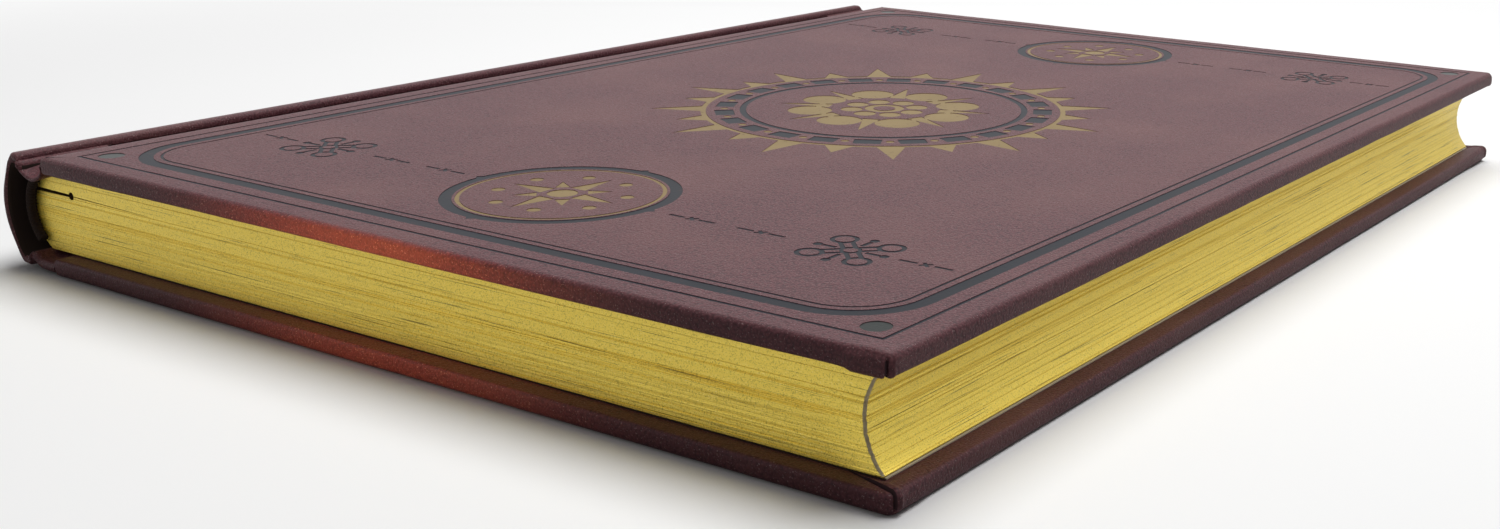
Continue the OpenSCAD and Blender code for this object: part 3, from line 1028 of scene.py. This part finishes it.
@dataclass
class PageBlock:
    """The leaves: cut flush in small stacks, rounded at the back, hollow at the fore-edge, gilt on three edges."""

    gilt: Material
    paper: Material
    chipped: Material
    gap_shade: Material
    seed: int = 11
    half_h: float = 101.5
    low_z: float = 3.0
    high_z: float = 15.0
    back_x: float = -70.65
    back_r: float = 7.1
    fore_x: float = 85.35
    fore_r: float = 8.7
    stack_mm: tuple[float, float] = (0.12, 0.3)
    chamfer: float = 0.32
    rub: float = 0.09
    shoulder_x: float = -74.45
    edge_x: float = 79.05
    gap_z: float = 11.9
    gap_end: float = -67.4
    crack_end: float = -48.0
    hole_r: float = 0.6
    leaf_t: float = 0.15
    joint_half: float = 0.035
    shallow_joint: float = -0.02
    deep_joint: float = -0.085
    shallow_share: float = 0.75
    cells: int = 24
    leaf_rows: int = 16

    def levels(self) -> list[tuple[float, float]]:
        """Draws the heights of the stacks' joints with how far the edge stands there.

        Returns:
            Height and outward offset of each level, from the underside up.
        """
        draw = random.Random(self.seed)
        rows, z, offset = [], self.low_z, 0.0
        while True:
            z += draw.uniform(*self.stack_mm)
            if z > self.high_z - self.leaf_t:
                return rows
            after = draw.uniform(-0.012, 0.006)
            depth = self.shallow_joint if draw.random() < self.shallow_share else self.deep_joint
            rows += [(z - self.joint_half, offset), (z, depth), (z + self.joint_half, after)]
            offset = after

    def shape(self, bm: BMesh, rows: list[tuple[float, float]]) -> None:
        """Moves the cut box's points to the rounded back, the hollow fore-edge and the stacks' edges.

        Args:
            bm: The cut box.
            rows: The levels.
        """
        left, right = self.back_x - self.back_r, self.edge_x
        for v in bm.verts:
            z = v.co.z
            level = min(range(len(rows)), key=lambda i: abs(rows[i][0] - z))
            offset = rows[level][1] if abs(rows[level][0] - z) < 0.01 else 0.0
            along = v.co.y if v.co.x > right - 0.5 else v.co.x
            if offset < -0.04:
                offset *= 0.55 + 0.75 * (0.5 + noise.noise(Vector((along * 0.035, level * 3.7, 0.5))))
            rise = z - MID_Z
            back = self.back_x - math.sqrt(self.back_r ** 2 - rise ** 2)
            fore = self.fore_x - math.sqrt(self.fore_r ** 2 - rise ** 2)
            at_fore, at_end = v.co.x > right - 0.5, abs(v.co.y) > self.half_h - 0.5
            v.co.x = back + (v.co.x - left) / (right - left) * (fore - back)
            if at_fore:
                v.co.x += offset
            if at_end:
                v.co.y += math.copysign(offset, v.co.y)
            if at_fore and at_end:
                v.co.x += self.rub * noise.noise(Vector((z * 1.7, v.co.y, 3.0)))
                v.co.y += self.rub * noise.noise(Vector((z * 2.3, v.co.y, 9.0)))

    def build(self) -> Object:
        """Makes the page block with the gap between two signatures at the tail.

        Returns:
            The block.
        """
        left, right = self.back_x - self.back_r, self.edge_x
        bm = box_mesh((left, -self.half_h, self.low_z), (right, self.half_h, self.high_z))
        upright = edges_where(bm, lambda a, b: a.x > 0 and b.x > 0 and abs(a.z - b.z) > 1)
        bmesh.ops.bevel(bm, geom=upright, offset=self.chamfer, segments=2, affect="EDGES", profile=0.5, material=2)
        rows = self.levels()
        for z, _ in rows:
            slice_mesh(bm, (0, 0, z), (0, 0, 1))
        for k in range(1, self.cells):
            slice_mesh(bm, (left + (right - left) * k / self.cells, 0, 0), (1, 0, 0))
            slice_mesh(bm, (0, -self.half_h + 2 * self.half_h * k / self.cells, 0), (0, 1, 0))
        for f in bm.faces:
            f.material_index = 1 if abs(f.normal.z) > 0.7 or f.normal.x < -0.7 else f.material_index
        self.shape(bm, rows)
        block = finish_mesh(bm, "gilt_page_block", 55)
        dress(block, [self.gilt, self.paper, self.chipped, self.gap_shade])
        subtract(block, self.gap_cutters())
        smooth_by_angle(block, 55)
        # Painted shade: faces within the gap between the signatures get the dark gap material
        for f in block.data.polygons:
            inside = abs(f.center.y) < (self.half_h - 0.25) * MM and abs(f.normal.x) < 0.99 and f.center.x < 0
            if inside and abs(f.center.z - self.gap_z * MM) < 0.7 * MM and f.center.x > (left + 0.1) * MM:
                f.material_index = 3
        return place_piece(block, Body.BLOCK, [self.gilt, self.paper, self.chipped, self.gap_shade],
                           ["page_block"])

    def flyleaf(self, name: str, low_z: float, endpaper: Material) -> None:
        """Makes a loose endpaper leaf, gilt on its trimmed edges with the rest of the block.

        Args:
            name: CAD node that it stands for.
            low_z: Height of its underside.
            endpaper: Material of its faces.
        """
        bm = box_mesh((self.shoulder_x, -self.half_h, low_z), (self.edge_x, self.half_h, low_z + self.leaf_t))
        for k in range(1, self.leaf_rows):
            slice_mesh(bm, (0, -self.half_h + 2 * self.half_h * k / self.leaf_rows, 0), (0, 1, 0))
        for v in bm.verts:
            if v.co.x > 0:
                v.co.x -= 0.05 + 0.05 * noise.noise(Vector((v.co.y * 0.05, low_z, 0.0)))
        for f in bm.faces:
            f.normal_update()
            f.material_index = 1 if f.normal.x > 0.7 or abs(f.normal.y) > 0.7 else 0
        leaf = finish_mesh(bm, name + "_sheet", 20)
        place_piece(leaf, Body.BLOCK, [endpaper, self.gilt], [name])

    def gap_cutters(self) -> list[Object]:
        """Makes what opens the gap between two signatures: a wedge, the sewing's hole and a fine crack beyond.

        Returns:
            Three closed objects.
        """
        wedge = box_mesh((-79.5, -self.half_h - 1, self.gap_z - 0.2),
                         (self.gap_end, -self.half_h + 6, self.gap_z + 0.2))
        for v in wedge.verts:
            if v.co.x < -79:
                v.co.z = self.gap_z + (v.co.z - self.gap_z) * 1.6
        crack = box_mesh((self.gap_end - 0.2, -self.half_h - 1, self.gap_z - 0.07),
                         (self.crack_end, -self.half_h + 0.35, self.gap_z + 0.07))
        for v in crack.verts:
            if v.co.x > self.crack_end - 1:
                v.co.z = self.gap_z - 0.25 + (v.co.z - self.gap_z) * 0.3
        hole = bmesh.new()
        bmesh.ops.create_cone(hole, cap_ends=True, segments=24, radius1=self.hole_r, radius2=self.hole_r, depth=7)
        bmesh.ops.rotate(hole, cent=(0, 0, 0), matrix=Matrix.Rotation(math.radians(90), 3, "X"), verts=hole.verts)
        bmesh.ops.translate(hole, vec=(self.gap_end, -self.half_h + 2.5, self.gap_z), verts=hole.verts)
        return [finish_mesh(wedge, "gap_wedge"), finish_mesh(crack, "gap_crack"), finish_mesh(hole, "gap_hole")]


# The studio


@dataclass(frozen=True)
class PhotoCamera:
    """Pinhole camera at the viewing angle of the photograph, with its picture centre to the right."""

    eye_mm: tuple[float, float, float] = (176.29, -237.05, 75.33)
    azimuth: float = -31.223
    elevation: float = 16.31
    roll: float = 1.187
    focal_px: float = 1703.3
    centre_px: tuple[float, float] = (1010.0, 264.5)
    image_px: tuple[int, int] = (1500, 529)
    sensor_mm: float = 36.0

    def build(self) -> None:
        """Adds the camera and makes it the scene's."""
        az, el, roll = (math.radians(a) for a in (self.azimuth, self.elevation, self.roll))
        look = Vector((math.sin(az) * math.cos(el), math.cos(az) * math.cos(el), -math.sin(el)))
        right = look.cross(Vector((0, 0, 1))).normalized()
        up = right.cross(look)
        right, up = (math.cos(roll) * right + math.sin(roll) * up, math.cos(roll) * up - math.sin(roll) * right)
        data = bpy.data.cameras.new("photo_camera")
        data.sensor_width = self.sensor_mm
        data.lens = self.focal_px / self.image_px[0] * self.sensor_mm
        data.shift_x = (self.image_px[0] / 2 - self.centre_px[0]) / self.image_px[0]
        data.shift_y = (self.centre_px[1] - self.image_px[1] / 2) / self.image_px[0]
        data.clip_start, data.clip_end = 0.01, 20
        camera = bpy.data.objects.new("photo_camera", data)
        camera.matrix_world = (Matrix.Translation(Vector(self.eye_mm) * MM)
                               @ Matrix((right, up, -look)).transposed().to_4x4())
        bpy.context.scene.collection.objects.link(camera)
        bpy.context.scene.camera = camera


@dataclass(frozen=True)
class SoftBox:
    """One soft lamp: where it stands, its size and its strength."""

    name: str
    place: tuple[float, float, float]
    size: tuple[float, float]
    watts: float
    colour: str = "#ffffff"
    aim: tuple[float, float, float] = (0.0, 0.0, 0.0)
    spread: float = 180.0

    def build(self, lit: Sequence[Object] = ()) -> None:
        """Adds the lamp, turned towards the journal.

        Args:
            lit: The only objects that it lights, or none where it lights all.
        """
        data = bpy.data.lights.new(self.name, "AREA")
        data.shape = "RECTANGLE"
        data.size, data.size_y = self.size
        data.energy = self.watts
        data.color = srgb(self.colour)[:3]
        data.spread = math.radians(self.spread)
        lamp = bpy.data.objects.new(self.name, data)
        lamp.location = self.place
        lamp.rotation_euler = (Vector(self.aim) - Vector(self.place)).to_track_quat("-Z", "Y").to_euler()
        lamp.visible_camera = False
        bpy.context.scene.collection.objects.link(lamp)
        if lit:
            group = bpy.data.collections.new(self.name + "_lights")
            for obj in lit:
                group.objects.link(obj)
            lamp.light_linking.receiver_collection = group


OVERHEAD = SoftBox("overhead_softbox", (0.05, 0.2, 0.75), (0.8, 0.55), 7.5)
FRONT_FILL = SoftBox("front_softbox", (0.5, -0.9, 0.55), (0.9, 0.6), 0.6)
WARM_EDGE = SoftBox("warm_edge_lamp", (0.002, -0.147, 0.0165), (0.045, 0.004), 0.0095, "#ffa04c",
                    aim=(0.002, -0.1, 0.0165), spread=75.0)


@dataclass(frozen=True)
class Studio:
    """Pale floor, white surroundings and soft lamps."""

    ambient: float = 0.095
    bounce: float = 0.3
    floor_half_mm: float = 4000.0
    floor_sink_mm: float = 0.05
    white_from: float = 0.2
    white_to: float = 0.45

    def seen_directly(self, tree: NodeTree) -> NodeSocket:
        """Adds nodes that tell a ray that shows the background from one that lights the object.

        Args:
            tree: Node tree of the floor or the world.

        Returns:
            A socket that is 1 for camera, glossy and transmission rays.
        """
        path = add_node(tree, "LightPath")
        either = add_node(tree, "Math", {0: path.outputs["Is Camera Ray"], 1: path.outputs["Is Glossy Ray"]},
                          operation="MAXIMUM")
        return add_node(tree, "Math", {0: either.outputs[0], 1: path.outputs["Is Transmission Ray"]},
                        operation="MAXIMUM").outputs[0]

    def build(self) -> None:
        """Adds the floor, the world and the lamps."""
        scene = bpy.context.scene
        scene.view_settings.view_transform = "Standard"
        world = bpy.data.worlds.new("white_studio")
        scene.world = world
        world.use_nodes = True
        tree = world.node_tree
        tree.nodes.clear()
        light = add_node(tree, "Background", {"Color": srgb("#ffffff"), "Strength": self.ambient})
        shown = add_node(tree, "Background", {"Color": srgb("#ffffff"), "Strength": 1.0})
        mix = add_node(tree, "MixShader", {0: self.seen_directly(tree), 1: light.outputs[0], 2: shown.outputs[0]})
        add_node(tree, "OutputWorld", {"Surface": mix.outputs[0]})

        bm = bmesh.new()
        bmesh.ops.create_grid(bm, x_segments=4, y_segments=4, size=self.floor_half_mm)
        bmesh.ops.translate(bm, vec=(0, 0, -self.floor_sink_mm), verts=bm.verts)
        floor = finish_mesh(bm, "studio_floor")
        material = bpy.data.materials.new("pale_studio_floor")
        material.use_nodes = True
        tree = material.node_tree
        tree.nodes.clear()
        seen = self.seen_directly(tree)
        tone = add_node(tree, "Mix", {0: seen, 6: (self.bounce, self.bounce, self.bounce, 1.0),
                                                7: srgb("#f6f6f6")}, data_type="RGBA")
        matt = add_node(tree, "BsdfDiffuse", {"Color": tone.outputs[2]})
        white = add_node(tree, "Emission", {"Color": srgb("#ffffff"), "Strength": 1.0})
        place = add_node(tree, "TexCoord").outputs["Object"]
        far = add_node(tree, "VectorMath", {0: place}, operation="LENGTH")
        fade = add_node(tree, "MapRange", {"Value": far.outputs["Value"], "From Min": self.white_from,
                                           "From Max": self.white_to}, interpolation_type="SMOOTHSTEP")
        share = add_node(tree, "Math", {0: fade.outputs[0], 1: seen}, operation="MULTIPLY")
        mix = add_node(tree, "MixShader", {0: share.outputs[0], 1: matt.outputs[0], 2: white.outputs[0]})
        add_node(tree, "OutputMaterial", {"Surface": mix.outputs[0]})
        dress(floor, [material])
        OVERHEAD.build()
        FRONT_FILL.build()


def main() -> None:
    """Builds the journal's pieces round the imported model, dresses the rest of it and sets the studio."""
    logging.basicConfig(level=logging.INFO, format="%(message)s")
    PhotoCamera().build()
    Studio().build()
    # Bonded leather, deep plum brown, the covering of the case
    leather = Leatherette().material()
    # Slate pigment foil of the border, the knots and the rings
    dark = StampedFoil("pigment_foil_slate", "#1c2029", "#15181e", 0.0, 0.42).material()
    # Green-grey pigment foil of the corner dots
    dot = StampedFoil("pigment_foil_green_grey", "#1e2624", "#161d1b", 0.0, 0.28).material()
    # Dull gold metal foil of the medallions and the emblem
    gold = StampedFoil("metal_foil_dull_gold", "#8a7750", "#725f3a", 0.5, 0.5, bare_share=0.7).material()
    # Gold leaf on the three trimmed edges
    gilt = GiltEdge().material()
    # Cream book paper, seen at the back of the block
    leaf = Paper("book_paper_cream", "#e2d8bd", "#cdbf9c").material()
    # Wove endpaper of the loose leaves
    endpaper = Paper("endpaper_wove_cream", "#e2d8c0", "#d2c4a2", mottle=0.4).material()
    # The same paper pasted down, its ends darkened as painted shade under the block's edges
    pasted_paper_with_painted_shade = Paper("endpaper_painted_shade_at_ends", "#e2d8c0", "#d2c4a2", mottle=0.4,
                  shade_beyond_mm=101.1).material()
    # Bare paper where the gilt is rubbed off the block's corners
    chipped = Paper("bare_paper_edge_rubbed", "#e2d2ac", "#a08a62", fibre_mm=0.3, cloud_mm=0.7).material()
    # Paper inside the gap between two signatures, darkened as painted shade
    gap_shade = Paper("paper_in_signature_gap_painted_shade", "#5a3f14", "#3c290c", fibre_mm=0.3).material()
    # Leather in the creases of the corner folds, darkened as painted shadow
    painted_crease_shadow = Paper("leather_crease_painted_shadow", "#2c171b", "#1e0f12", fibre_mm=0.4).material()
    # Painted shade on the inner faces of the spine's leather, inside the hollow back
    painted_hollow_shade = Paper("leather_inside_hollow_painted_shade", "#23150f", "#150c08", fibre_mm=0.5).material()
    # Grey board of the covers and the spine's card
    greyboard = Paper("binders_greyboard", "#8d8478", "#6f675d", fibre_mm=0.6).material()
    # Mull cloth on the back of the block
    lining = WovenCotton("mull_lining_cloth", "#cfc8b8", "#9c9484", 0.6).material()
    # Brown cotton thread of the headbands
    cotton = WovenCotton("mercerised_cotton_thread", "#2f1d15", "#160d08", 0.12, sheen=0.0).material()

    front = Cover(Side.FRONT, leather, greyboard, painted_crease_shadow, CornerFold(start=(1.2, 0.35), reach=6.3)).build()
    Stamping(dark, dot, gold).stamp(front)
    back = Cover(Side.BACK, leather, greyboard, painted_crease_shadow, CornerFold(laps=-1)).build()
    # A small warm lamp close to the tail gives the covers' edges their copper sheen
    WARM_EDGE.build([front, back])
    SpineCase(leather, painted_hollow_shade, greyboard).build()
    pages = PageBlock(gilt, leaf, chipped, gap_shade)
    pages.build()
    pages.flyleaf("back_flyleaf", BACK_FLYLEAF_Z, endpaper)
    pages.flyleaf("front_flyleaf", FRONT_FLYLEAF_Z, endpaper)
    HeadBand(cotton).build("tail", -1, -BAND_Y)
    HeadBand(cotton).build("head", 1, BAND_Y)

    # The nodes that no piece replaces
    for name, material in (("front_pastedown", pasted_paper_with_painted_shade), ("back_pastedown", pasted_paper_with_painted_shade), ("spine_lining", lining)):
        dress(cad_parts[name], [material])


if __name__ == "__main__":
    main()
